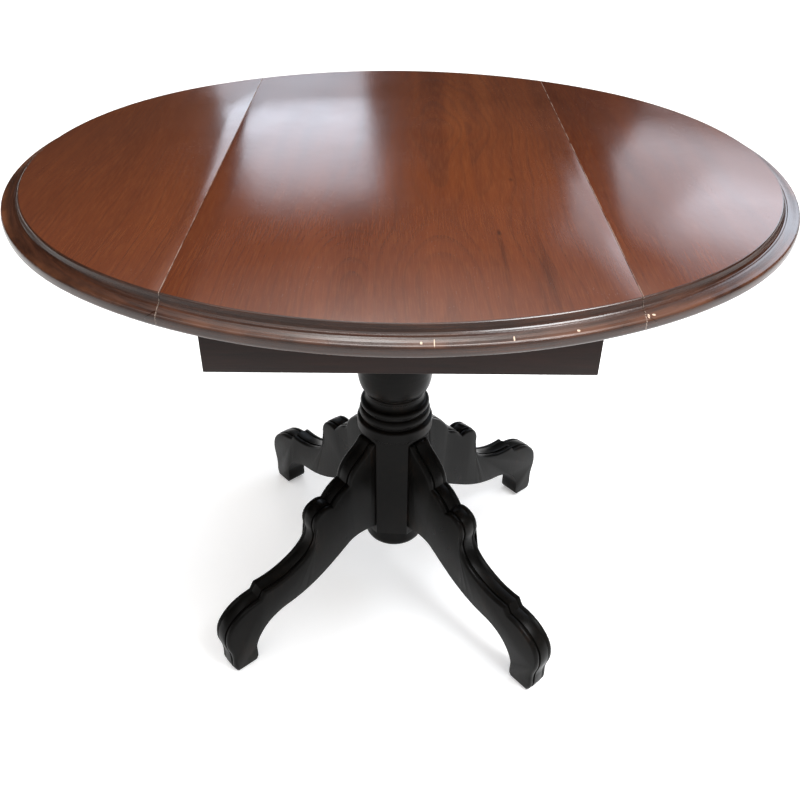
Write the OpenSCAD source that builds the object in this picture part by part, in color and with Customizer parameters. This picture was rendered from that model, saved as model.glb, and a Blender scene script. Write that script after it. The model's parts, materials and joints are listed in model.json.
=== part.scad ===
// Drop-leaf pedestal dining table with an oval top, a turned column and four scrolled legs.
// The origin is on the floor under the column. Z is up, X runs across the leaves, the front is -Y.

/* [Top] */
// Height of the top surface above the floor
table_height = 762; // [700:1:820]
// Width across both raised leaves
top_width = 1016; // [960:1:1120]
// Depth along the joints
top_depth = 914.4; // [860:0.2:930]
// Thickness of the top
top_thickness = 25; // [22:0.5:30]
// Width of the fixed centre panel between the two joints
centre_width = 470; // [450:1:500]
// Width of the moulded edge
rim_width = 24; // [20:0.5:28]

/* [Rule joint] */
// Radius of the quarter round that the leaf turns over
joint_radius = 14; // [10:0.5:14]
// Open gap at the top of the joint
joint_gap = 0.6; // [0.4:0.1:1]
// Running clearance between the quarter round and the leaf
joint_clearance = 0.4; // [0.3:0.1:0.8]

/* [Hinges] */
// Distance of the outer hinges from the middle of the joint
hinge_spacing = 290; // [240:5:300]
// Length of a hinge along the joint
hinge_length = 60; // [50:1:70]
// Thickness of the hinge plates
plate_thickness = 2; // [1.5:0.1:2.5]
// Diameter of the hinge pin
pin_diameter = 3; // [2.5:0.1:3.5]
// Radial clearance of the pin in the moving knuckle
pin_clearance = 0.06; // [0.02:0.01:0.1]

/* [Apron] */
// Width of the apron box across the table
apron_width = 412; // [380:1:414]
// Depth of the apron box from front to back
apron_depth = 750; // [700:1:780]
// Height of the apron rails
apron_height = 71; // [66:1:80]
// Thickness of the apron rails
rail_thickness = 19; // [16:0.5:22]

/* [Leaf supports] */
// Width of one pull-out support
loper_width = 32; // [26:1:32]
// Height of one pull-out support
loper_height = 28; // [24:1:30]
// Length of one pull-out support
loper_length = 330; // [300:5:340]
// How far a support pulls out
loper_travel = 130; // [100:5:140]

/* [Pedestal] */
// Offset of the pedestal from the middle of the top, across the table
pedestal_x = -7; // [-15:1:15]
// Offset of the pedestal from the middle of the top, from front to back
pedestal_y = -10; // [-15:1:15]
// Turn of the whole pedestal away from square with the top
pedestal_turn = -4; // [-8:0.5:8]
// Radius of the collar above the post
collar_radius = 60.5; // [58:0.5:64]
// Distance between the front and back faces of the post
post_width = 110; // [106:1:114]
// Distance between the faces that carry the legs
post_diagonal = 113.6; // [112:0.2:118]

/* [Legs] */
// Thickness of a leg board
leg_thickness = 38; // [34:1:40]
// Reach of a foot from the middle of the table
leg_reach = 357; // [340:1:380]
// Width of the raised band on the outer edge of a leg
band_width = 17; // [14:1:20]
// Step from the raised band to the bead beside it
quirk_depth = 2.4; // [1:0.1:3]

/* [Hidden] */
$fn = 64;
walnut = "#6b351e";
rim_brown = "#3b1b10";
apron_brown = "#2c120d";
black_paint = "#17140f";
plain_wood = "#b48a5c";
steel = "#9b9a94";
brass = "#a98a4a";
nylon = "#d8d4c8";
overshoot = 1;

// The oval is four tangent arcs: their centres make 3-4-5 triangles with the middle of the table
half_w = top_width / 2;
half_d = top_depth / 2;
side_centre = 2 * (half_w - half_d);
end_centre = 0.75 * side_centre;
side_r = half_d + side_centre;
end_r = half_w - end_centre;
arc_turn = atan(0.75);

joint_x = centre_width / 2;
axis_z = table_height - top_thickness;
underside = axis_z;
far = 900;

// The moulded edge, from the field outwards and down
lip = 2.2;
cove_run = 7;
cove_drop = 9.2;
quirk = 0.5;
nose_drop = 19.5;
shoulder_drop = 11.6;
shoulder_back = 2.8;
crown = 0.5;
under_r = 4.5;

knuckle_r = 4;
knuckle_gap = 0.3;
knuckle_length = hinge_length / 3;
fixed_reach = 27;
moving_reach = 64;
plate_start = 5;
gain_depth = 1;
screw_r = 1.75;
screw_head_r = 3.4;
screw_length = 15;
head_depth = 2;

rail_bottom = underside - apron_height;
apron_x = apron_width / 2;
apron_y = apron_depth / 2;
inner_x = apron_x - rail_thickness;
inner_y = apron_y - rail_thickness;
block_leg = 45;
block_height = 60;

loper_clearance = 0.5;
near_lane = 172;
far_lane = near_lane + loper_width + 5;
guide_half = 30;
guide_wall = 5;
guide_lip = 9;
peg_r = 4;
peg_length = 14;
peg_in = 7;
grip_r = 9;

plate_x = 140;
plate_y = 125;
plate_height = 38;
crossbar_height = 38;
plate_bottom = underside - plate_height;
plate_screw_r = 2.5;
plate_screw_head = 4.5;
plate_screw_length = 52;
column_bolt_r = 5;
column_bolt_ring = 38;
column_bolt_length = 78;
washer_r = 10;
bolt_head_r = 8.5;

post_top = 328;
post_bottom = 130;
collar_top = 348;
leg_face = post_diagonal / 2;
post_bore = 24;
spigot_r = 23.8;
spigot_length = 30;
cap_top_r = 50;
cap_bottom = 92;
cap_peg_top = 146;

glide_height = 4;
glide_r = 11;
glide_pin_r = 2;
foot_inner = leg_reach - 49;
foot_outer = leg_reach - 6;
dowel_r = 5;
dowel_length = 44;
bolt_r = 4;
bolt_length = 92;
bolt_tail = 12;
seat = 25;
seat_r = 9.5;
washer_height = 1.8;
nut_height = 6.5;
nut_r = 7.5;
bolt_heights = [188, 248];
dowel_heights = [165, 216, 276];

leg_angles = [225, 315, 135, 45];

// Points along a circular arc
function arc(c, r, a0, a1, n) =
    [for (i = [0 : n]) c + r * [cos(a0 + (a1 - a0) * i / n), sin(a0 + (a1 - a0) * i / n)]];

// Points along a cubic curve, leaving out its last point
function curve(a, b, c, d, n) =
    [for (i = [0 : n - 1]) let(t = i / n, s = 1 - t)
        s * s * s * a + 3 * s * s * t * b + 3 * s * t * t * c + t * t * t * d];

// ---------------------------------------------------------------- outlines of the top

// The oval between two insets, kept to the right of the joint or over the whole width
module oval(inset) {
    reach = far * [sin(arc_turn), cos(arc_turn)];
    intersection() {
        translate([0, side_centre])
            circle(r = side_r - inset, $fn = 256);
        translate([0, -side_centre])
            circle(r = side_r - inset, $fn = 256);
        union() {
            translate([end_centre, 0])
                circle(r = end_r - inset, $fn = 256);
            translate([-end_centre, 0])
                circle(r = end_r - inset, $fn = 256);
            polygon([[end_centre, 0], [end_centre, 0] + reach, [-end_centre, 0] + [-reach[0], reach[1]],
                     [-end_centre, 0], [-end_centre, 0] - reach, [end_centre, 0] + [reach[0], -reach[1]]]);
        }
    }
}

// Section of the moulded edge: x is measured from the centre of the arc, y from the top surface
module rim_section(r) {
    field = r - rim_width;
    shoulder = rim_width - shoulder_back;
    translate([field, 0])
        polygon(concat(
            curve([0, 0], [lip / 2, 0], [0.8 * lip, -lip / 4], [lip, -0.8 * lip], 3),
            curve([lip, -0.8 * lip], [1.4 * lip, -cove_drop / 2], [cove_run / 2, -cove_drop],
                  [cove_run, -cove_drop], 6),
            [[cove_run, -cove_drop], [cove_run + quirk, -cove_drop - quirk]],
            curve([cove_run + 2 * quirk, -cove_drop], [cove_run + 5, -cove_drop + crown],
                  [shoulder - 5, crown - shoulder_drop], [shoulder, -shoulder_drop], 4),
            curve([shoulder, -shoulder_drop], [rim_width - 0.8, -shoulder_drop - 0.4],
                  [rim_width, 5 - nose_drop], [rim_width, -nose_drop], 6),
            arc([rim_width - under_r, under_r - top_thickness], under_r, 0, -90, 6),
            [[0, -top_thickness]]));
}

// One arc of the moulded edge, turned about its own centre
module rim_arc(centre, r, from, to) {
    translate([centre[0], centre[1], table_height])
        rotate([0, 0, from])
            rotate_extrude(angle = to - from, $fn = 256)
                rim_section(r);
}

// ---------------------------------------------------------------- rule joint

// Everything that belongs to the centre panel, with its two quarter rounds
module joint_body() {
    rotate([90, 0, 0])
        linear_extrude(height = 2 * far, center = true)
            intersection() {
                translate([-far, axis_z])
                    square([2 * far, top_thickness]);
                union() {
                    translate([-joint_x, axis_z - overshoot])
                        square([centre_width, top_thickness + 2 * overshoot]);
                    for (side = [-1, 1])
                        translate([side * joint_x, axis_z])
                            circle(r = joint_radius);
                }
            }
}

// Everything that a leaf on the right leaves free
module joint_space() {
    rotate([90, 0, 0])
        linear_extrude(height = 2 * far, center = true) {
            translate([-far, axis_z - overshoot])
                square([far + joint_x + joint_gap, top_thickness + 2 * overshoot]);
            translate([joint_x, axis_z])
                circle(r = joint_radius + joint_clearance);
        }
}

// ---------------------------------------------------------------- top pieces

module hinge_places() {
    for (y = [-hinge_spacing, 0, hinge_spacing])
        translate([joint_x, y, axis_z])
            children();
}

// Room in the underside of the centre panel for the knuckles and the turning plate
module hinge_gain() {
    rotate([90, 0, 0])
        cylinder(r = knuckle_r + 1, h = hinge_length + 2, center = true);
    translate([0, -hinge_length / 2 - 1, -overshoot])
        cube([joint_radius + 2, hinge_length + 2, overshoot + gain_depth]);
}

module wood_screw_hole(r, length) {
    translate([0, 0, -overshoot])
        cylinder(r = r, h = length + overshoot);
}

module panel_screw_places() {
    for (side = [0, 1])
        mirror([side, 0, 0])
            hinge_places()
                for (y = [-hinge_length / 3, hinge_length / 3])
                    translate([-fixed_reach + 9, y, 0])
                        children();
}

module leaf_screw_places() {
    hinge_places()
        for (p = [[26, -20], [26, 20], [52, 0]])
            translate([p[0], p[1], 0])
                children();
}

module plate_screw_places() {
    for (x = [-plate_x + 20, 0, plate_x - 20], y = [-plate_y + 18, plate_y - 18])
        translate([x, y, plate_bottom])
            children();
}

module centre_panel() {
    color(walnut)
        difference() {
            intersection() {
                translate([0, 0, underside])
                    linear_extrude(height = top_thickness)
                        oval(rim_width);
                joint_body();
            }
            for (side = [0, 1])
                mirror([side, 0, 0])
                    hinge_places()
                        hinge_gain();
            panel_screw_places()
                wood_screw_hole(screw_r, screw_length - plate_thickness);
            plate_screw_places()
                translate([0, 0, plate_height])
                    wood_screw_hole(plate_screw_r, plate_screw_length - plate_height);
        }
}

// The moulded edge across the front of the centre panel
module centre_rim() {
    half_turn = asin((joint_x + joint_radius + 8) / side_r);
    intersection() {
        rim_arc([0, side_centre], side_r, 270 - half_turn, 270 + half_turn);
        joint_body();
    }
}

module centre_rim_front() {
    color(rim_brown)
        centre_rim();
}

module centre_rim_back() {
    color(rim_brown)
        mirror([0, 1, 0])
            centre_rim();
}

module leaf() {
    difference() {
        translate([0, 0, underside])
            linear_extrude(height = top_thickness)
                intersection() {
                    oval(rim_width);
                    translate([joint_x, -far])
                        square([far, 2 * far]);
                }
        joint_space();
        leaf_screw_places()
            wood_screw_hole(screw_r, screw_length - plate_thickness);
    }
}

module leaf_rim() {
    start_turn = asin((joint_x - 8) / side_r);
    difference() {
        union() {
            rim_arc([end_centre, 0], end_r, arc_turn - 90, 90 - arc_turn);
            rim_arc([0, side_centre], side_r, 270 + start_turn, 270 + arc_turn);
            rim_arc([0, -side_centre], side_r, 90 - arc_turn, 90 - start_turn);
        }
        joint_space();
    }
}

module right_leaf() {
    color(walnut)
        leaf();
}

module left_leaf() {
    color(walnut)
        mirror([1, 0, 0])
            leaf();
}

module right_leaf_rim() {
    color(rim_brown)
        leaf_rim();
}

module left_leaf_rim() {
    color(rim_brown)
        mirror([1, 0, 0])
            leaf_rim();
}

// ---------------------------------------------------------------- hinges

module knuckle(y, bore) {
    translate([0, y, 0])
        rotate([90, 0, 0])
            difference() {
                cylinder(r = knuckle_r, h = knuckle_length - knuckle_gap, center = true);
                cylinder(r = bore, h = knuckle_length + 2 * overshoot, center = true);
            }
}

// The strip of plate that runs into a knuckle, below the axis
module knuckle_strip(y, reach) {
    difference() {
        translate([min(0, reach), y - (knuckle_length - knuckle_gap) / 2, -plate_thickness])
            cube([abs(reach), knuckle_length - knuckle_gap, plate_thickness]);
        rotate([90, 0, 0])
            cylinder(r = pin_diameter / 2 + 0.5, h = 2 * hinge_length, center = true);
    }
}

module countersinks(points) {
    for (p = points)
        translate([p[0], p[1], -plate_thickness]) {
            translate([0, 0, -overshoot])
                cylinder(r = screw_r, h = plate_thickness + 2 * overshoot);
            cylinder(r1 = screw_head_r, r2 = screw_r, h = head_depth);
        }
}

module fixed_plate() {
    color(brass)
        difference() {
            union() {
                translate([-fixed_reach, -hinge_length / 2, -plate_thickness])
                    cube([fixed_reach - plate_start, hinge_length, plate_thickness]);
                for (y = [-knuckle_length, knuckle_length]) {
                    knuckle(y, pin_diameter / 2);
                    knuckle_strip(y, -plate_start - overshoot);
                }
            }
            countersinks([for (y = [-1, 1]) [-fixed_reach + 9, y * hinge_length / 3]]);
        }
}

module moving_plate() {
    color(brass)
        difference() {
            union() {
                translate([plate_start, -hinge_length / 2, -plate_thickness])
                    cube([moving_reach - plate_start, hinge_length, plate_thickness]);
                knuckle(0, pin_diameter / 2 + pin_clearance);
                knuckle_strip(0, plate_start + overshoot);
            }
            countersinks([[26, -20], [26, 20], [52, 0]]);
        }
}

module fixed_hinge(side, place) {
    mirror([side, 0, 0])
        translate([joint_x, place * hinge_spacing, axis_z])
            fixed_plate();
}

module moving_hinge(side, place) {
    mirror([side, 0, 0])
        translate([joint_x, place * hinge_spacing, axis_z])
            moving_plate();
}

module hinge_pins(side) {
    color(steel)
        mirror([side, 0, 0])
            hinge_places()
                rotate([90, 0, 0])
                    cylinder(r = pin_diameter / 2, h = hinge_length - knuckle_gap, center = true);
}

module wood_screw() {
    translate([0, 0, -plate_thickness]) {
        cylinder(r1 = screw_head_r, r2 = screw_r, h = head_depth);
        cylinder(r = screw_r, h = screw_length);
    }
}

module panel_hinge_screws() {
    color(steel)
        panel_screw_places()
            wood_screw();
}

module leaf_screws(side) {
    color(steel)
        mirror([side, 0, 0])
            leaf_screw_places()
                wood_screw();
}

// ---------------------------------------------------------------- apron

module rail_end(sign) {
    color(apron_brown)
        translate([-apron_x, sign > 0 ? inner_y : -apron_y, rail_bottom])
            cube([apron_width, rail_thickness, apron_height]);
}

// A side rail with two notches that the leaf supports slide through
module rail_side(lanes) {
    difference() {
        translate([inner_x, -inner_y, rail_bottom])
            cube([rail_thickness, 2 * inner_y, apron_height]);
        for (y = lanes)
            translate([inner_x - overshoot, y - loper_width / 2 - loper_clearance,
                       underside - loper_height - 2 * loper_clearance])
                cube([rail_thickness + 2 * overshoot, loper_width + 2 * loper_clearance,
                      loper_height + 2 * loper_clearance + overshoot]);
    }
}

module apron_right() {
    color(apron_brown)
        rail_side([-far_lane, near_lane]);
}

module apron_left() {
    color(apron_brown)
        mirror([1, 0, 0])
            rail_side([-near_lane, far_lane]);
}

module corner_block(sx, sy) {
    color(plain_wood)
        translate([0, 0, underside - block_height])
            linear_extrude(height = block_height)
                polygon([[sx * inner_x, sy * inner_y], [sx * (inner_x - block_leg), sy * inner_y],
                         [sx * inner_x, sy * (inner_y - block_leg)]]);
}

module crossbar(sign) {
    y = plate_y + rail_thickness / 2 + 2;
    color(plain_wood)
        translate([-inner_x, sign * y - rail_thickness / 2, underside - crossbar_height])
            cube([2 * inner_x, rail_thickness, crossbar_height]);
}

// ---------------------------------------------------------------- leaf supports

// A support for the right leaf, pushed in, with its stop peg and a finger grip underneath
module loper(y) {
    top = underside - loper_clearance;
    peg_x = inner_x - peg_in - loper_travel;
    color(rim_brown)
        difference() {
            translate([apron_x - loper_length, y - loper_width / 2, top - loper_height])
                cube([loper_length, loper_width, loper_height]);
            translate([apron_x - 16, y, top - loper_height])
                rotate([90, 0, 0])
                    cylinder(r = grip_r, h = loper_width + 2 * overshoot, center = true);
        }
    color(plain_wood)
        translate([peg_x, y, top - loper_height - peg_length / 2])
            cylinder(r = peg_r, h = peg_length / 2 + overshoot);
}

module loper_guide(sign) {
    low = near_lane - loper_width / 2 - loper_clearance - guide_wall;
    high = far_lane + loper_width / 2 + loper_clearance + guide_wall;
    depth = loper_height + 2 * loper_clearance;
    color(plain_wood)
        mirror([0, sign < 0 ? 1 : 0, 0])
            difference() {
                translate([-guide_half, low, underside - depth - guide_lip])
                    cube([2 * guide_half, high - low, depth + guide_lip]);
                for (y = [near_lane, far_lane])
                    translate([-guide_half - overshoot, y - loper_width / 2 - loper_clearance,
                               underside - depth])
                        cube([2 * (guide_half + overshoot), loper_width + 2 * loper_clearance,
                              depth + overshoot]);
            }
}

// ---------------------------------------------------------------- pedestal

module pedestal_place() {
    translate([pedestal_x, pedestal_y, 0])
        rotate([0, 0, pedestal_turn])
            children();
}

module column_bolt_places() {
    pedestal_place()
        for (a = [45 : 90 : 315])
            rotate([0, 0, a])
                translate([column_bolt_ring, 0, 0])
                    children();
}

module mounting_plate() {
    color(plain_wood)
        difference() {
            translate([-plate_x, -plate_y, plate_bottom])
                cube([2 * plate_x, 2 * plate_y, plate_height]);
            plate_screw_places()
                wood_screw_hole(plate_screw_r, plate_height + 2 * overshoot);
            column_bolt_places() {
                translate([0, 0, plate_bottom - overshoot])
                    cylinder(r = column_bolt_r, h = plate_height + 2 * overshoot);
                translate([0, 0, underside - 9])
                    cylinder(r = washer_r, h = 9 + overshoot);
            }
        }
}

module plate_screws() {
    color(steel)
        plate_screw_places() {
            cylinder(r = plate_screw_r, h = plate_screw_length);
            translate([0, 0, -3])
                cylinder(r = plate_screw_head, h = 3);
        }
}

// Bolts with their washers, sunk in the mounting plate and run down into the column
module column_bolts() {
    color(steel)
        column_bolt_places() {
            translate([0, 0, underside - column_bolt_length])
                cylinder(r = column_bolt_r, h = column_bolt_length - 7);
            translate([0, 0, underside - 9])
                cylinder(r = washer_r, h = 2);
            translate([0, 0, underside - 7])
                cylinder(r = bolt_head_r, h = 6, $fn = 6);
        }
}

// The turned column: collar, two rings, a small fillet, then the vase up to the mounting plate
module column() {
    top = plate_bottom;
    profile = concat(
        [[0, post_top - spigot_length], [spigot_r, post_top - spigot_length], [spigot_r, post_top],
         [collar_radius - 1.2, post_top], [collar_radius, post_top + 1.2]],
        arc([collar_radius - 4, collar_top - 4], 4, 0, 70, 5),
        [[54.5, collar_top + 1], [54.5, collar_top + 3]],
        curve([54.5, collar_top + 3], [57.8, 354], [57.8, 361], [54, 364.5], 8),
        [[54, 364.5], [51.5, 366], [51.5, 368.5]],
        curve([51.5, 368.5], [55.8, 370], [55.8, 377], [52, 379], 7),
        curve([52, 379], [48, 379.5], [45, 383], [44.8, 390], 6),
        curve([44.8, 390], [47, 391], [47, 395.5], [44.8, 396.5], 5),
        [[44.8, 396.5], [44.5, 399]],
        curve([47, 399], [53, 402], [58.5, 414], [58.5, 432], 10),
        curve([58.5, 432], [58.5, 470], [38, 520], [34, 590], 14),
        [[34, 590], [34, 600], [38, 602], [38, 606]],
        arc([38, 614], 8, -90, 90, 10),
        [[37, 624]],
        curve([37, 628], [37, 652], [44, 666], [56, 670], 7),
        [[56, 670], [56, 675], [60, 675]],
        arc([60, 682], 7, -90, 90, 10),
        [[60, top], [0, top]]);
    color(black_paint)
        difference() {
            pedestal_place()
                rotate_extrude($fn = 128)
                    polygon(profile);
            column_bolt_places()
                translate([0, 0, underside - column_bolt_length])
                    cylinder(r = column_bolt_r, h = column_bolt_length);
        }
}

module leg_bolt_places(heights) {
    for (a = leg_angles)
        rotate([0, 0, a])
            for (z = heights)
                translate([0, 0, z])
                    rotate([0, 90, 0])
                        children();
}

// The eight-sided post: the four narrower faces carry the legs
module post() {
    color(black_paint)
        pedestal_place()
            difference() {
                translate([0, 0, post_bottom])
                    linear_extrude(height = post_top - post_bottom)
                        intersection() {
                            square(post_width, center = true);
                            rotate([0, 0, 45])
                                square(post_diagonal, center = true);
                        }
                translate([0, 0, post_bottom - overshoot])
                    cylinder(r = post_bore, h = post_top - post_bottom + 2 * overshoot);
                leg_bolt_places(bolt_heights)
                    translate([0, 0, bolt_tail]) {
                        cylinder(r = bolt_r, h = post_width);
                        cylinder(r = seat_r, h = seat - bolt_tail);
                    }
                leg_bolt_places(dowel_heights)
                    translate([0, 0, leg_face - dowel_length / 2])
                        cylinder(r = dowel_r, h = dowel_length);
            }
}

// The round end under the post, with a spigot up the bore
module post_cap() {
    profile = concat([[0, cap_bottom]],
        curve([34, cap_bottom], [45, cap_bottom + 0.5], [cap_top_r, cap_bottom + 4],
              [cap_top_r, cap_bottom + 14], 8),
        [[cap_top_r, cap_bottom + 14], [cap_top_r, post_bottom - 4], [cap_top_r - 1, post_bottom],
         [spigot_r, post_bottom], [spigot_r, cap_peg_top], [0, cap_peg_top]]);
    color(black_paint)
        pedestal_place()
            rotate_extrude($fn = 96)
                polygon(profile);
}

// ---------------------------------------------------------------- legs

// Outer edge of a leg from the post to the foot: x is the distance from the middle, y the height
function outer_edge() =
    let(k = leg_reach)
    concat(
        curve([leg_face, 323], [leg_face + 9, 323], [62, 318], [76, 307], 5),
        curve([76, 307], [90, 298], [103, 287], [108, 272], 5),
        [[108, 272]],
        curve([109.5, 263], [121, 260], [134, 252], [143, 239], 5),
        curve([143, 239], [149, 244], [159, 243], [169, 238], 4),
        curve([169, 238], [178, 233], [183, 223], [182, 208], 5),
        [[181, 206]],
        curve([179, 196], [182, 172], [201, 158], [229, 148], 7),
        curve([229, 148], [247, 141], [263, 140], [282, 140], 5),
        [[282, 140]],
        curve([290, 128], [320, 127], [k - 14, 113], [k - 4, 93], 7),
        curve([k - 4, 93], [k + 1, 80], [k + 1, 66], [k - 2, 56], 5),
        curve([k - 2, 56], [k - 6, 44], [k - 7, 34], [k - 6, 24], 4),
        curve([k - 6, 24], [k - 5, 16], [k - 6, 9], [k - 9, glide_height], 3),
        [[k - 9, glide_height]]);

// Inner edge from the post to the foot, with one point for each point of the outer edge
function inner_edge() =
    let(k = foot_inner)
    concat(
        curve([leg_face, 146], [76, 150], [96, 152], [112, 144], 14),
        curve([112, 144], [156, 116], [k - 120, 92], [k - 62, 86], 16),
        curve([k - 62, 86], [k - 26, 80], [k - 8, 56], [k - 2, 38], 15),
        curve([k - 2, 38], [k + 1, 30], [k - 3, 18], [k, glide_height + 3], 13),
        [[k + 3, glide_height]]);

// Points moved square to the edge, towards the inside of the leg
function moved_in(points, d) =
    let(n = len(points))
    [for (i = [0 : n - 1])
        let(a = points[max(i - 1, 0)], b = points[min(i + 1, n - 1)], v = (b - a) / norm(b - a))
        i == 0 ? points[0] - [0, d]
        : (i == n - 1 ? points[n - 1] - [d, 0] : points[i] + d * [v[1], -v[0]])];

// Half section of the edge moulding: distance from the middle plane, and distance in from the edge
half = leg_thickness / 2;
half_band = band_width / 2;
quirk_width = 1;
bead_half = 0.55 * (half - half_band - quirk_width);
bead_crest = 0.5;
bead_depth = 4.5;
side_taper = 0.4;
moulding = concat(
    [[half_band, 0], [half_band, quirk_depth], [half_band + quirk_width, quirk_depth]],
    [for (a = [-30 : 24 : 90])
        [half - bead_half + bead_half * sin(a), bead_crest + bead_depth * (1 - cos(a))]]);

// A leg as one skin over a row of closed rings, each one a section across the leg
module leg_skin() {
    rows = len(moulding);
    cols = 2 * rows + 2;
    edges = [for (m = moulding) moved_in(outer_edge(), m[1])];
    inner = inner_edge();
    n = len(inner);
    low = half - side_taper;
    rings = [for (i = [0 : n - 1])
        concat([[inner[i][0], -low, inner[i][1]]],
               [for (k = [rows - 1 : -1 : 0]) [edges[k][i][0], -moulding[k][0], edges[k][i][1]]],
               [for (k = [0 : rows - 1]) [edges[k][i][0], moulding[k][0], edges[k][i][1]]],
               [[inner[i][0], low, inner[i][1]]])];
    skin = [for (i = [0 : n - 2], j = [0 : cols - 1], t = [0, 1])
        let(a = i * cols + j, b = i * cols + (j + 1) % cols)
            t == 0 ? [a, b, b + cols] : [a, b + cols, a + cols]];
    post_end = [for (j = [cols - 1 : -1 : 0]) j];
    foot_end = [for (j = [0 : cols - 1]) (n - 1) * cols + j];
    polyhedron(points = [for (ring = rings) each ring], faces = concat(skin, [post_end, foot_end]));
}

module foot_place() {
    translate([(foot_inner + foot_outer) / 2, 0, 0])
        children();
}

module leg(angle) {
    color(black_paint)
        pedestal_place()
            rotate([0, 0, angle])
                difference() {
                    leg_skin();
                    for (z = bolt_heights)
                        translate([0, 0, z])
                            rotate([0, 90, 0])
                                cylinder(r = bolt_r, h = bolt_length + 4);
                    for (z = dowel_heights)
                        translate([0, 0, z])
                            rotate([0, 90, 0])
                                cylinder(r = dowel_r, h = leg_face + dowel_length / 2);
                    foot_place()
                        cylinder(r = glide_pin_r, h = 18);
                }
}

module leg_dowels() {
    color(plain_wood)
        pedestal_place()
            leg_bolt_places(dowel_heights)
                translate([0, 0, leg_face - dowel_length / 2])
                    cylinder(r = dowel_r, h = dowel_length);
}

// Bolts from the bore of the post into the legs, each with its washer and nut on a flat seat
module leg_bolts() {
    color(steel)
        pedestal_place()
            leg_bolt_places(bolt_heights) {
                translate([0, 0, bolt_tail])
                    cylinder(r = bolt_r, h = bolt_length - bolt_tail);
                translate([0, 0, seat - washer_height])
                    cylinder(r = seat_r - 1, h = washer_height);
                translate([0, 0, seat - washer_height - nut_height])
                    cylinder(r = nut_r, h = nut_height, $fn = 6);
            }
}

module glide(angle) {
    color(nylon)
        pedestal_place()
            rotate([0, 0, angle])
                foot_place() {
                    cylinder(r1 = glide_r - 1, r2 = glide_r, h = 1);
                    translate([0, 0, 1])
                        cylinder(r = glide_r, h = glide_height - 1);
                    cylinder(r = glide_pin_r, h = 18);
                }
}

centre_panel();
centre_rim_front();
centre_rim_back();
left_leaf();
left_leaf_rim();
right_leaf();
right_leaf_rim();
rail_end(-1);  // apron_front
rail_end(1);  // apron_back
apron_left();
apron_right();
corner_block(-1, -1);  // corner_block_front_left
corner_block(1, -1);  // corner_block_front_right
corner_block(-1, 1);  // corner_block_back_left
corner_block(1, 1);  // corner_block_back_right
crossbar(-1);  // crossbar_front
crossbar(1);  // crossbar_back
fixed_hinge(1, -1);  // left_hinge_front_fixed
fixed_hinge(1, 0);  // left_hinge_middle_fixed
fixed_hinge(1, 1);  // left_hinge_back_fixed
fixed_hinge(0, -1);  // right_hinge_front_fixed
fixed_hinge(0, 0);  // right_hinge_middle_fixed
fixed_hinge(0, 1);  // right_hinge_back_fixed
moving_hinge(1, -1);  // left_hinge_front_moving
moving_hinge(1, 0);  // left_hinge_middle_moving
moving_hinge(1, 1);  // left_hinge_back_moving
moving_hinge(0, -1);  // right_hinge_front_moving
moving_hinge(0, 0);  // right_hinge_middle_moving
moving_hinge(0, 1);  // right_hinge_back_moving
hinge_pins(1);  // left_hinge_pins
hinge_pins(0);  // right_hinge_pins
panel_hinge_screws();
leaf_screws(1);  // left_leaf_screws
leaf_screws(0);  // right_leaf_screws
rotate([0, 0, 180]) loper(near_lane);  // left_loper_front
rotate([0, 0, 180]) loper(-far_lane);  // left_loper_back
loper(-far_lane);  // right_loper_front
loper(near_lane);  // right_loper_back
loper_guide(-1);  // loper_guide_front
loper_guide(1);  // loper_guide_back
mounting_plate();
plate_screws();
column_bolts();
column();
post();
post_cap();
leg(225);  // leg_front_left
leg(315);  // leg_front_right
leg(135);  // leg_back_left
leg(45);  // leg_back_right
leg_dowels();
leg_bolts();
glide(225);  // glide_front_left
glide(315);  // glide_front_right
glide(135);  // glide_back_left
glide(45);  // glide_back_right
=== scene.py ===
import json
import math

import bmesh
import bpy
from mathutils import Matrix, Vector


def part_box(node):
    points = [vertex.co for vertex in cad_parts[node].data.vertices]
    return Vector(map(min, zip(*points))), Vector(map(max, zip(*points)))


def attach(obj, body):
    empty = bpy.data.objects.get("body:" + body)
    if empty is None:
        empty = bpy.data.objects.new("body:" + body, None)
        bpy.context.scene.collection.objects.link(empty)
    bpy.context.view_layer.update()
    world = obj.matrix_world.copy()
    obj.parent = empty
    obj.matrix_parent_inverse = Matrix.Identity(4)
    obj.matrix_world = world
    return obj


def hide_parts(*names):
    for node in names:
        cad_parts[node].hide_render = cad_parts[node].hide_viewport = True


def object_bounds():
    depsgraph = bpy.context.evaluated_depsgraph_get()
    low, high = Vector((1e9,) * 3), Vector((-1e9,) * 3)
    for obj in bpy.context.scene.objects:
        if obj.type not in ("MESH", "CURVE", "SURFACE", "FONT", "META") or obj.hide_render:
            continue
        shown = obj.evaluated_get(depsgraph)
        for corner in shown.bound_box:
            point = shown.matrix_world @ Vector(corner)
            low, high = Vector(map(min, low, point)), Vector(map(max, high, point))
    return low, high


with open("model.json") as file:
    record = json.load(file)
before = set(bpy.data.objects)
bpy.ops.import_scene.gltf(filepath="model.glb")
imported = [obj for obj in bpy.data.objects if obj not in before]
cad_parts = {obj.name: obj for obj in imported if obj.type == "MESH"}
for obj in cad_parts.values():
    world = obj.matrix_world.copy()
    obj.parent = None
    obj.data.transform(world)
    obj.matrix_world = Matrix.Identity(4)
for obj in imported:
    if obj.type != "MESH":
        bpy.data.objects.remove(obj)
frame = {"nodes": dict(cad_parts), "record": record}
cad_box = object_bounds()
scene = bpy.context.scene
scene.view_settings.view_transform = "Standard"

# ---------------------------------------------------------------- places taken from the frame

TOP_Z = cad_box[1].z
HALF_W = cad_box[1].x
HALF_D = cad_box[1].y
SEAM_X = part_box("right_leaf")[0].x
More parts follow.
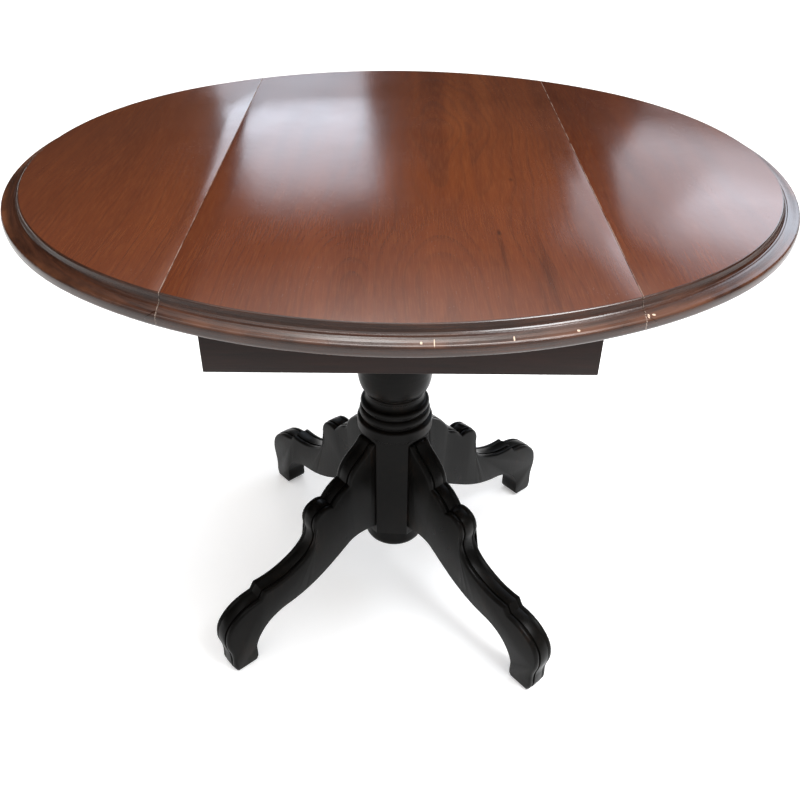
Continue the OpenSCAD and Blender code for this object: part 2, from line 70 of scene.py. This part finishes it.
# Height of the shoulder of the moulded edge, and the height above which its finish is chipped
SHOULDER_Z = TOP_Z - 0.0120
CHIPPED_Z = TOP_Z - 0.0165


# ---------------------------------------------------------------- node material helpers


class Look:
    """A node material under construction. Sockets are passed round as values or as links."""

    def __init__(self, name):
        self.material = bpy.data.materials.new(name)
        self.material.use_nodes = True
        self.tree = self.material.node_tree
        self.tree.nodes.clear()
        self.shader = self.tree.nodes.new("ShaderNodeBsdfPrincipled")
        out = self.tree.nodes.new("ShaderNodeOutputMaterial")
        self.tree.links.new(self.shader.outputs["BSDF"], out.inputs["Surface"])
        coords = self.tree.nodes.new("ShaderNodeTexCoord")
        split = self.tree.nodes.new("ShaderNodeSeparateXYZ")
        self.tree.links.new(coords.outputs["Object"], split.inputs[0])
        self.x, self.y, self.z = split.outputs

    def put(self, socket, value):
        if isinstance(value, bpy.types.NodeSocket):
            self.tree.links.new(value, socket)
        else:
            socket.default_value = value

    def math(self, operation, a, b=0.0):
        node = self.tree.nodes.new("ShaderNodeMath")
        node.operation = operation
        for socket, value in zip(node.inputs, (a, b)):
            self.put(socket, value)
        return node.outputs[0]

    def add(self, a, b):
        return self.math("ADD", a, b)

    def sub(self, a, b):
        return self.math("SUBTRACT", a, b)

    def mul(self, a, b):
        return self.math("MULTIPLY", a, b)

    def xyz(self, x, y, z):
        node = self.tree.nodes.new("ShaderNodeCombineXYZ")
        for socket, value in zip(node.inputs, (x, y, z)):
            self.put(socket, value)
        return node.outputs[0]

    def stretched(self, sx, sy, sz, shift=0.0):
        """The place on the object, scaled along each axis. The shift gives another part of a pattern."""
        return self.xyz(self.mul(self.x, sx), self.mul(self.y, sy), self.add(self.mul(self.z, sz), shift))

    def noise(self, vector, detail=3.0, rough=0.5):
        node = self.tree.nodes.new("ShaderNodeTexNoise")
        self.put(node.inputs["Vector"], vector)
        node.inputs["Scale"].default_value = 1.0
        node.inputs["Detail"].default_value = detail
        node.inputs["Roughness"].default_value = rough
        node.inputs["Distortion"].default_value = 0.0
        return node.outputs["Fac"]

    def random(self, value):
        node = self.tree.nodes.new("ShaderNodeTexWhiteNoise")
        node.noise_dimensions = "1D"
        self.put(node.inputs["W"], value)
        return node.outputs["Value"]

    def map(self, value, low, high, to_low=0.0, to_high=1.0, smooth=True):
        node = self.tree.nodes.new("ShaderNodeMapRange")
        node.interpolation_type = "SMOOTHSTEP" if smooth else "LINEAR"
        sockets = ("Value", "From Min", "From Max", "To Min", "To Max")
        for socket, number in zip(sockets, (value, low, high, to_low, to_high)):
            self.put(node.inputs[socket], number)
        return node.outputs[0]

    def ramp(self, value, *stops):
        node = self.tree.nodes.new("ShaderNodeValToRGB")
        band = node.color_ramp
        while len(band.elements) < len(stops):
            band.elements.new(1.0)
        for element, (place, colour) in zip(band.elements, stops):
            element.position = place
            element.color = (*colour, 1.0)
        self.put(node.inputs[0], value)
        return node.outputs[0]

    def mix(self, factor, a, b):
        node = self.tree.nodes.new("ShaderNodeMix")
        node.data_type = "RGBA"
        self.put(node.inputs[0], factor)
        for socket, value in zip(node.inputs[6:8], (a, b)):
            self.put(socket, (*value, 1.0) if isinstance(value, tuple) else value)
        return node.outputs[2]

    def near(self, x, y, reach_x, reach_y):
        """1 at a point of the top, falling to 0 over reach_x and reach_y."""
        dx = self.math("DIVIDE", self.sub(self.x, x), reach_x)
        dy = self.math("DIVIDE", self.sub(self.y, y), reach_y)
        far = self.math("SQRT", self.add(self.mul(dx, dx), self.mul(dy, dy)))
        return self.map(far, 0.0, 1.0, 1.0, 0.0)

    def from_seam(self):
        """Distance from the nearer of the two joints between the leaves and the centre."""
        return self.math("ABSOLUTE", self.sub(self.math("ABSOLUTE", self.x), SEAM_X))

    def bump(self, height, depth, strength, under=None):
        node = self.tree.nodes.new("ShaderNodeBump")
        node.inputs["Strength"].default_value = strength
        node.inputs["Distance"].default_value = depth
        self.put(node.inputs["Height"], height)
        if under is not None:
            self.put(node.inputs["Normal"], under)
        return node.outputs[0]

    def finish(self, colour, roughness, normal=None, ior=1.5, metallic=0.0):
        self.put(self.shader.inputs["Base Color"], colour)
        self.put(self.shader.inputs["Roughness"], roughness)
        if normal is not None:
            self.put(self.shader.inputs["Normal"], normal)
        self.shader.inputs["IOR"].default_value = ior
        self.shader.inputs["Metallic"].default_value = metallic
        return self.material


# ---------------------------------------------------------------- wood

# Where the boards of the top meet, from left to right
BOARD_EDGES = (-SEAM_X - 0.13, -SEAM_X, -0.034, 0.092, SEAM_X, SEAM_X + 0.14)
# Dark marks on the board right of the middle: x and y, half width, half length, and how dark
KNOTS = (
    (0.108, -0.235, 0.0035, 0.011, 0.85),
    (0.108, -0.290, 0.0050, 0.090, 0.45),
    (0.138, -0.075, 0.0045, 0.009, 0.60),
    (0.150, -0.330, 0.0100, 0.110, 0.45),
)
RINGS_PER_METRE = 150.0


def field_wood():
    """Stained boards running from front to back under a rubbed lacquer."""
    k = Look("field_wood")
    board = 0.0
    for edge in BOARD_EDGES:
        board = k.add(board, k.math("GREATER_THAN", k.x, edge))
    luck = k.random(k.add(board, 3.3))
    luck2 = k.random(k.add(board, 11.7))
    # Slow wander of the grain, shared by everything that follows it
    broad = k.sub(k.noise(k.stretched(5.0, 1.6, 0.0, 2.0), detail=2.0), 0.5)
    small = k.sub(k.noise(k.stretched(30.0, 5.0, 0.0, 7.0), detail=2.0), 0.5)
    wander = k.add(k.mul(broad, 0.05), k.mul(small, 0.008))
    # Growth rings: each board is a flat cut, and its depth under the heart of the tree changes along it
    heart_x = k.map(luck, 0.0, 1.0, -0.11, 0.11, smooth=False)
    middle = k.sub(k.add(k.x, wander), heart_x)
    depth = k.add(k.mul(k.y, k.map(luck2, 0.0, 1.0, -0.16, 0.16, smooth=False)), 0.07)
    depth = k.add(depth, k.mul(k.sub(k.noise(k.stretched(1.5, 3.2, 0.0, 5.0), detail=1.0), 0.5), 0.07))
    radius = k.math("SQRT", k.add(k.mul(middle, middle), k.mul(depth, depth)))
    turns = k.mul(radius, RINGS_PER_METRE)
    ring = k.math("FRACT", turns)
    late = k.mul(k.map(ring, 0.45, 0.93), k.map(ring, 0.94, 1.0, 1.0, 0.0))
    year = k.random(k.math("FLOOR", turns))
    ring_dark = k.mul(late, k.map(year, 0.0, 1.0, 0.25, 1.0, smooth=False))
    # Fibres and pores
    fibre_x = k.add(k.x, k.mul(wander, 0.6))
    fibre = k.noise(k.xyz(k.mul(fibre_x, 620.0), k.mul(k.y, 26.0), 0.0), detail=4.0, rough=0.62)
    grain_x = k.add(k.x, wander)
    pores = k.noise(k.xyz(k.mul(grain_x, 1300.0), k.mul(k.y, 95.0), 4.0), detail=2.0)
    pore_dark = k.map(pores, 0.60, 0.74)
    streak = k.noise(k.xyz(k.mul(grain_x, 26.0), k.mul(k.y, 1.5), luck), detail=4.0, rough=0.55)
    cloud = k.noise(k.stretched(5.0, 2.2, 0.0, 9.0), detail=3.0)
    # Stain over the wood, darker in streaks; the colour is also made lighter towards the front
    tone = k.add(k.mul(streak, 0.62), k.mul(cloud, 0.38))
    colour = k.ramp(tone, (0.30, (0.026, 0.0044, 0.0010)), (0.45, (0.045, 0.0082, 0.0014)),
                    (0.56, (0.062, 0.0124, 0.0020)), (0.72, (0.096, 0.0235, 0.0045)))
    colour = k.mix(k.map(luck, 0.0, 1.0, 0.0, 0.30, smooth=False), colour, (0.085, 0.030, 0.0150))
    colour = k.mix(k.mul(k.map(k.y, 0.1, -0.35), 0.35), colour, (0.085, 0.0240, 0.0110))
    colour = k.mix(k.mul(ring_dark, 0.40), colour, (0.035, 0.011, 0.0060))
    colour = k.mix(k.mul(k.map(fibre, 0.46, 0.64), 0.22), colour, (0.120, 0.040, 0.0130))
    colour = k.mix(k.mul(pore_dark, 0.36), colour, (0.022, 0.008, 0.0045))
    for x, y, half_wide, half_long, dark in KNOTS:
        mark = k.mul(k.near(x, y, half_wide, half_long), dark)
        colour = k.mix(mark, colour, (0.020, 0.007, 0.0045))
    # Dust along the two joints
    broken = k.noise(k.stretched(300.0, 40.0, 0.0, 1.0), detail=3.0)
    dust = k.mul(k.map(k.from_seam(), 0.0003, 0.0010, 1.0, 0.0), k.map(broken, 0.40, 0.60, 0.15, 1.0))
    colour = k.mix(k.mul(dust, 0.45), colour, (0.30, 0.22, 0.18))
    smudge = k.noise(k.stretched(9.0, 9.0, 9.0, 3.0), detail=5.0, rough=0.6)
    rough = k.add(k.map(smudge, 0.3, 0.7, 0.20, 0.24), k.mul(pore_dark, 0.05))
    rough = k.add(rough, k.mul(dust, 0.4))
    relief = k.add(k.mul(fibre, 0.25), k.mul(pore_dark, -0.35))
    orange_peel = k.noise(k.stretched(110.0, 70.0, 110.0), detail=2.0)
    normal = k.bump(relief, 0.00004, 0.25, k.bump(orange_peel, 0.00016, 0.4))
    return k.finish(colour, rough, normal, ior=1.45)


# Chips in the finish at the front: x, half width and half length
CHIPS = (
    (0.018, 0.0022, 0.0035),
    (0.030, 0.0011, 0.0090),
    (0.104, 0.0016, 0.0060),
    (0.166, 0.0030, 0.0028),
    (0.2385, 0.0022, 0.0060),
    (0.2440, 0.0034, 0.0026),
)
# How far in from the outermost edge the chips lie
CHIP_INSET = 0.006


def edge_wood():
    """The dark moulded edge: the grain runs along it, and a highlight is painted along the shoulder."""
    k = Look("edge_wood")
    angle = k.math("ARCTAN2", k.y, k.x)
    reach = k.math("SQRT", k.add(k.mul(k.x, k.x), k.mul(k.y, k.y)))
    grain_at = k.xyz(k.mul(angle, 6.0), k.mul(reach, 230.0), k.mul(k.z, 230.0))
    grain = k.noise(grain_at, detail=5.0, rough=0.6)
    fine_at = k.xyz(k.mul(angle, 34.0), k.mul(reach, 1100.0), k.mul(k.z, 1100.0))
    fine = k.noise(fine_at, detail=3.0, rough=0.6)
    patch = k.noise(k.stretched(9.0, 9.0, 20.0, 4.0), detail=4.0)
    colour = k.ramp(k.add(k.mul(grain, 0.6), k.mul(patch, 0.4)), (0.30, (0.0080, 0.0026, 0.0014)),
                    (0.50, (0.0210, 0.0066, 0.0030)), (0.70, (0.0500, 0.0160, 0.0068)))
    colour = k.mix(k.mul(k.map(fine, 0.48, 0.66), 0.30), colour, (0.060, 0.022, 0.0100))
    # Painted highlight along the shoulder, broken up in patches, and a few chips through the finish at
    # the front
    shoulder = k.math("ABSOLUTE", k.sub(k.z, SHOULDER_Z))
    shoulder_highlight = k.mul(k.map(shoulder, 0.0002, 0.0026, 1.0, 0.0), k.map(patch, 0.44, 0.60))
    colour = k.mix(k.mul(shoulder_highlight, 0.45), colour, (0.110, 0.038, 0.0150))
    chips = 0.0
    for x, half_wide, half_long in CHIPS:
        y = -math.sqrt(1.0 - (x / HALF_W) ** 2) * HALF_D + CHIP_INSET
        chips = k.math("MAXIMUM", chips, k.near(x, y, half_wide, half_long))
    ragged = k.noise(k.stretched(900.0, 900.0, 900.0, 6.0), detail=3.0)
    chips = k.map(k.mul(chips, k.add(ragged, 0.35)), 0.32, 0.46)
    chips = k.mul(chips, k.math("GREATER_THAN", k.z, CHIPPED_Z))
    colour = k.mix(chips, colour, (0.42, 0.31, 0.23))
    # Dust where the joints cross the edge
    dust = k.mul(k.map(k.from_seam(), 0.0003, 0.0009, 1.0, 0.0), k.map(ragged, 0.45, 0.60, 0.0, 0.6))
    colour = k.mix(dust, colour, (0.40, 0.32, 0.27))
    rough = k.add(k.map(patch, 0.3, 0.7, 0.20, 0.27), k.mul(chips, 0.3))
    relief = k.add(k.mul(grain, 0.5), k.add(k.mul(fine, 0.4), k.mul(chips, -1.6)))
    normal = k.bump(relief, 0.00016, 0.7)
    return k.finish(colour, rough, normal, ior=1.5)


def dark_boards(name, rough_low, rough_high, run):
    """Stained rail stock. The grain runs along the axis with the smallest scale in run."""
    k = Look(name)
    grain = k.noise(k.stretched(*run), detail=5.0, rough=0.62)
    slow = k.noise(k.stretched(6.0, 6.0, 14.0, 5.0), detail=3.0)
    colour = k.ramp(k.add(k.mul(grain, 0.6), k.mul(slow, 0.4)),
                    (0.32, (0.0042, 0.0013, 0.0009)), (0.68, (0.0150, 0.0046, 0.0026)))
    rough = k.map(slow, 0.3, 0.7, rough_low, rough_high)
    normal = k.bump(grain, 0.0003, 0.5)
    return k.finish(colour, rough, normal, ior=1.22)


def black_lacquer():
    """Black satin paint on turned and sawn wood, worn a little brown in places."""
    k = Look("black_lacquer")
    cloud = k.noise(k.stretched(14.0, 14.0, 14.0, 1.0), detail=5.0, rough=0.6)
    grain = k.noise(k.stretched(160.0, 160.0, 22.0, 2.0), detail=4.0, rough=0.6)
    colour = k.ramp(cloud, (0.30, (0.0016, 0.0015, 0.0014)), (0.62, (0.0034, 0.0030, 0.0026)),
                    (0.80, (0.0075, 0.0052, 0.0038)))
    wear = k.mul(k.map(cloud, 0.52, 0.72), k.map(grain, 0.45, 0.65))
    colour = k.mix(k.mul(wear, 0.45), colour, (0.018, 0.0100, 0.0062))
    spots = k.noise(k.stretched(420.0, 420.0, 420.0, 8.0), detail=2.0)
    rough = k.add(k.map(cloud, 0.3, 0.7, 0.27, 0.38), k.mul(k.map(spots, 0.62, 0.75), 0.12))
    normal = k.bump(k.add(k.mul(grain, 0.6), k.mul(spots, 0.25)), 0.00035, 0.6)
    return k.finish(colour, rough, normal, ior=1.16)


def bare_wood():
    """Unfinished wood of the hidden blocks, plates and guides."""
    k = Look("plain_wood")
    grain = k.noise(k.stretched(24.0, 220.0, 220.0, 3.0), detail=5.0, rough=0.6)
    slow = k.noise(k.stretched(5.0, 9.0, 9.0, 6.0), detail=3.0)
    colour = k.ramp(k.add(k.mul(grain, 0.55), k.mul(slow, 0.45)),
                    (0.30, (0.21, 0.115, 0.055)), (0.70, (0.45, 0.29, 0.155)))
    return k.finish(colour, k.map(grain, 0.3, 0.7, 0.55, 0.75), k.bump(grain, 0.0004, 0.5))


def plated(name, dull, bright, rough_low, rough_high):
    """Brushed metal with patches of tarnish."""
    k = Look(name)
    tarnish = k.noise(k.stretched(60.0, 60.0, 60.0, 2.0), detail=5.0, rough=0.65)
    brush = k.noise(k.stretched(200.0, 2600.0, 2600.0, 1.0), detail=3.0)
    colour = k.mix(k.map(tarnish, 0.35, 0.68), bright, dull)
    rough = k.add(k.map(tarnish, 0.3, 0.7, rough_low, rough_high), k.mul(brush, 0.06))
    return k.finish(colour, rough, k.bump(brush, 0.00004, 0.5), metallic=1.0)


def glide_plastic():
    """Pale plastic, scuffed by the floor."""
    k = Look("glide_plastic")
    scuff = k.noise(k.stretched(300.0, 300.0, 300.0), detail=4.0)
    colour = k.mix(k.map(scuff, 0.45, 0.7), (0.60, 0.58, 0.52), (0.38, 0.36, 0.31))
    return k.finish(colour, k.map(scuff, 0.3, 0.7, 0.5, 0.65), k.bump(scuff, 0.0001, 0.4))


# Scale of the grain along x, y and z and its shift, for boards that run side to side or front to back
SIDE_TO_SIDE = (16.0, 260.0, 260.0, 3.0)
FRONT_TO_BACK = (260.0, 16.0, 260.0, 3.0)
LOOKS = {
    "field_wood": field_wood(),
    "edge_wood": edge_wood(),
    "support_wood": dark_boards("support_wood", 0.38, 0.5, SIDE_TO_SIDE),
    "plain_wood": bare_wood(),
    "hinge_brass": plated("hinge_brass", (0.30, 0.21, 0.09), (0.60, 0.46, 0.21), 0.30, 0.48),
    "plain_steel": plated("plain_steel", (0.30, 0.30, 0.29), (0.56, 0.56, 0.55), 0.28, 0.45),
    "black_lacquer": black_lacquer(),
    "glide_plastic": glide_plastic(),
}
APRON_ENDS = dark_boards("apron_ends", 0.30, 0.42, SIDE_TO_SIDE)
APRON_SIDES = dark_boards("apron_sides", 0.30, 0.42, FRONT_TO_BACK)
LOOKS_BY_NODE = {
    "apron_front": APRON_ENDS,
    "apron_back": APRON_ENDS,
    "apron_left": APRON_SIDES,
    "apron_right": APRON_SIDES,
}
SLOTS = {s["node"]: s["material_slot"] for s in frame["record"]["subparts"]}


def look_of(node):
    return LOOKS_BY_NODE.get(node) or LOOKS[SLOTS[node]]


# ---------------------------------------------------------------- visible pieces


# Points closer than this are one point, and faces that turn less than this are one flat face
SAME_POINT = 2e-6
FLAT_ANGLE = math.radians(0.6)


def body_of(node):
    bodies = frame["record"]["behaviour"]["bodies"]
    return next(body for body, members in bodies.items() if node in members)


def eased(node, radius, smooth_deg):
    """The CAD node with its sharp arrises eased, as sanding leaves them, standing in for the node."""
    limit = math.radians(smooth_deg)
    mesh = bpy.data.meshes.new(node + "_eased")
    bm = bmesh.new()
    bm.from_mesh(frame["nodes"][node].data)
    bmesh.ops.remove_doubles(bm, verts=bm.verts, dist=SAME_POINT)
    bmesh.ops.dissolve_limit(bm, angle_limit=FLAT_ANGLE, verts=bm.verts, edges=bm.edges)
    sharp = [e for e in bm.edges if len(e.link_faces) == 2 and e.calc_face_angle(0.0) > limit]
    bmesh.ops.bevel(bm, geom=sharp, offset=radius, offset_type="OFFSET", segments=2, profile=0.5,
                    affect="EDGES", clamp_overlap=True)
    bm.to_mesh(mesh)
    bm.free()
    mesh.shade_smooth()
    mesh.set_sharp_from_angle(angle=limit)
    piece = bpy.data.objects.new(node + "_eased", mesh)
    scene.collection.objects.link(piece)
    mesh.materials.append(look_of(node))
    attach(piece, body_of(node))
    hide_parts(node)


# Nodes, the radius of their eased arrises, and the angle in degrees from which an edge counts as an arris
EASED = (
    (("centre_panel", "left_leaf", "right_leaf"), 0.0003, 30),
    (("apron_front", "apron_back", "apron_left", "apron_right"), 0.0010, 30),
    (("post",), 0.0014, 30),
    (("leg_front_left", "leg_front_right", "leg_back_left", "leg_back_right"), 0.0003, 42),
    (("left_loper_front", "left_loper_back", "right_loper_front", "right_loper_back"), 0.0008, 40),
)
for nodes, radius, smooth_deg in EASED:
    for node in nodes:
        eased(node, radius, smooth_deg)

for node, obj in frame["nodes"].items():
    for slot in obj.material_slots:
        slot.material = look_of(node)

# ---------------------------------------------------------------- camera

CAMERA_AT = Vector((-0.0036, -1.1099, 1.1591))
CAMERA_TURN, CAMERA_TILT, CAMERA_ROLL = (math.radians(v) for v in (0.48, 35.79, 0.75))
ahead = Vector((
    math.sin(CAMERA_TURN) * math.cos(CAMERA_TILT),
    math.cos(CAMERA_TURN) * math.cos(CAMERA_TILT),
    -math.sin(CAMERA_TILT),
))
level = Vector((math.cos(CAMERA_TURN), -math.sin(CAMERA_TURN), 0))
upward = level.cross(ahead)
right = math.cos(CAMERA_ROLL) * level + math.sin(CAMERA_ROLL) * upward
up = -math.sin(CAMERA_ROLL) * level + math.cos(CAMERA_ROLL) * upward
lens = bpy.data.cameras.new("camera")
lens.sensor_width = 36.0
lens.lens = 38.19
lens.shift_x = -0.0035
lens.shift_y = 0.0034
camera = bpy.data.objects.new("camera", lens)
camera.matrix_world = Matrix.Translation(CAMERA_AT) @ Matrix((right, up, -ahead)).transposed().to_4x4()
scene.collection.objects.link(camera)
scene.camera = camera

# ---------------------------------------------------------------- floor and light

FLOOR_SIZE = 30

bpy.ops.mesh.primitive_plane_add(size=FLOOR_SIZE)
floor = bpy.context.object
floor.name = "floor"
paper = Look("floor_paper")
speck = paper.noise(paper.stretched(3.0, 3.0, 3.0), detail=4.0)
paper_colour = paper.mix(paper.map(speck, 0.3, 0.7), (0.93, 0.93, 0.93), (0.95, 0.95, 0.95))
# A little light of its own keeps the shadow under the table faint
paper.shader.inputs["Emission Color"].default_value = (1.0, 1.0, 1.0, 1.0)
paper.shader.inputs["Emission Strength"].default_value = 0.3
floor.data.materials.append(paper.finish(paper_colour, 0.9))


def area_light(name, size_x, size_y, power, colour, place, target):
    """A rectangular light at a place, with its lit side towards the target."""
    lamp = bpy.data.lights.new(name, "AREA")
    lamp.shape = "RECTANGLE"
    lamp.size = size_x
    lamp.size_y = size_y
    lamp.energy = power
    lamp.color = colour
    light = bpy.data.objects.new(name, lamp)
    light.location = place
    light.rotation_euler = (place - target).to_track_quat("Z", "Y").to_euler()
    scene.collection.objects.link(light)


# The camera's mirror image under the top: a light that the top reflects is in line with it
MIRROR = Vector((CAMERA_AT.x, CAMERA_AT.y, 2 * TOP_Z - CAMERA_AT.z))


def reflected_light(name, azimuths, heights, distance, power, colour):
    """A light seen in the table top between two azimuths and two angles above the horizon, in degrees.
    Power is per square metre, and the angles and the distance are counted from the mirror image."""
    azimuth = math.radians(sum(azimuths) / 2)
    height = math.radians(sum(heights) / 2)
    aim = Vector((
        math.sin(azimuth) * math.cos(height),
        math.cos(azimuth) * math.cos(height),
        math.sin(height),
    ))
    size_x = 2 * distance * math.tan(math.radians(azimuths[1] - azimuths[0]) / 2)
    size_y = 2 * distance * math.tan(math.radians(heights[1] - heights[0]) / 2)
    area_light(name, size_x, size_y, power * size_x * size_y, colour, MIRROR + aim * distance, MIRROR)


COOL = (0.78, 0.87, 1.0)
reflected_light("back_window", (-12.5, -2.4), (8.5, 27.0), 3.2, 9.5, COOL)
reflected_light("side_window", (17.2, 38.0), (10.0, 33.0), 3.2, 5.0, (0.80, 0.88, 1.0))
reflected_light("side_window_low", (24.5, 38.0), (17.0, 27.0), 3.1, 9.0, COOL)
reflected_light("ceiling_light", (4.0, 52.0), (55.0, 72.0), 2.6, 32.0, (1.0, 0.985, 0.96))
# High on the camera's right, for the slope of the front edge
EDGE_LIGHT_AT = Vector((1.3, -1.0, 2.88))
area_light("edge_light", 1.1, 0.8, 70.0, (0.94, 0.97, 1.0), EDGE_LIGHT_AT, Vector((0.1, -HALF_D, TOP_Z)))

world = bpy.data.worlds.new("studio")
scene.world = world
world.use_nodes = True
tree = world.node_tree
coords = tree.nodes.new("ShaderNodeTexCoord")
split = tree.nodes.new("ShaderNodeSeparateXYZ")
tree.links.new(coords.outputs["Generated"], split.inputs[0])


def sky_part(direction, dark_at, bright_at, dark, bright):
    """Strength of the sky that rises smoothly along one component of the direction."""
    node = tree.nodes.new("ShaderNodeMapRange")
    node.interpolation_type = "SMOOTHSTEP"
    limits = (("From Min", dark_at), ("From Max", bright_at), ("To Min", dark), ("To Max", bright))
    for socket, value in limits:
        node.inputs[socket].default_value = value
    tree.links.new(direction, node.inputs["Value"])
    return node.outputs[0]


# The far side stays dark low down, because that is what the plain parts of the top reflect
both = tree.nodes.new("ShaderNodeMath")
both.operation = "MAXIMUM"
tree.links.new(sky_part(split.outputs[2], 0.66, 0.85, 0.03, 2.1), both.inputs[0])
tree.links.new(sky_part(split.outputs[1], 0.20, -0.25, 0.0, 0.75), both.inputs[1])
background = tree.nodes["Background"]
background.inputs["Color"].default_value = (1.0, 0.99, 0.975, 1.0)
tree.links.new(both.outputs[0], background.inputs["Strength"])
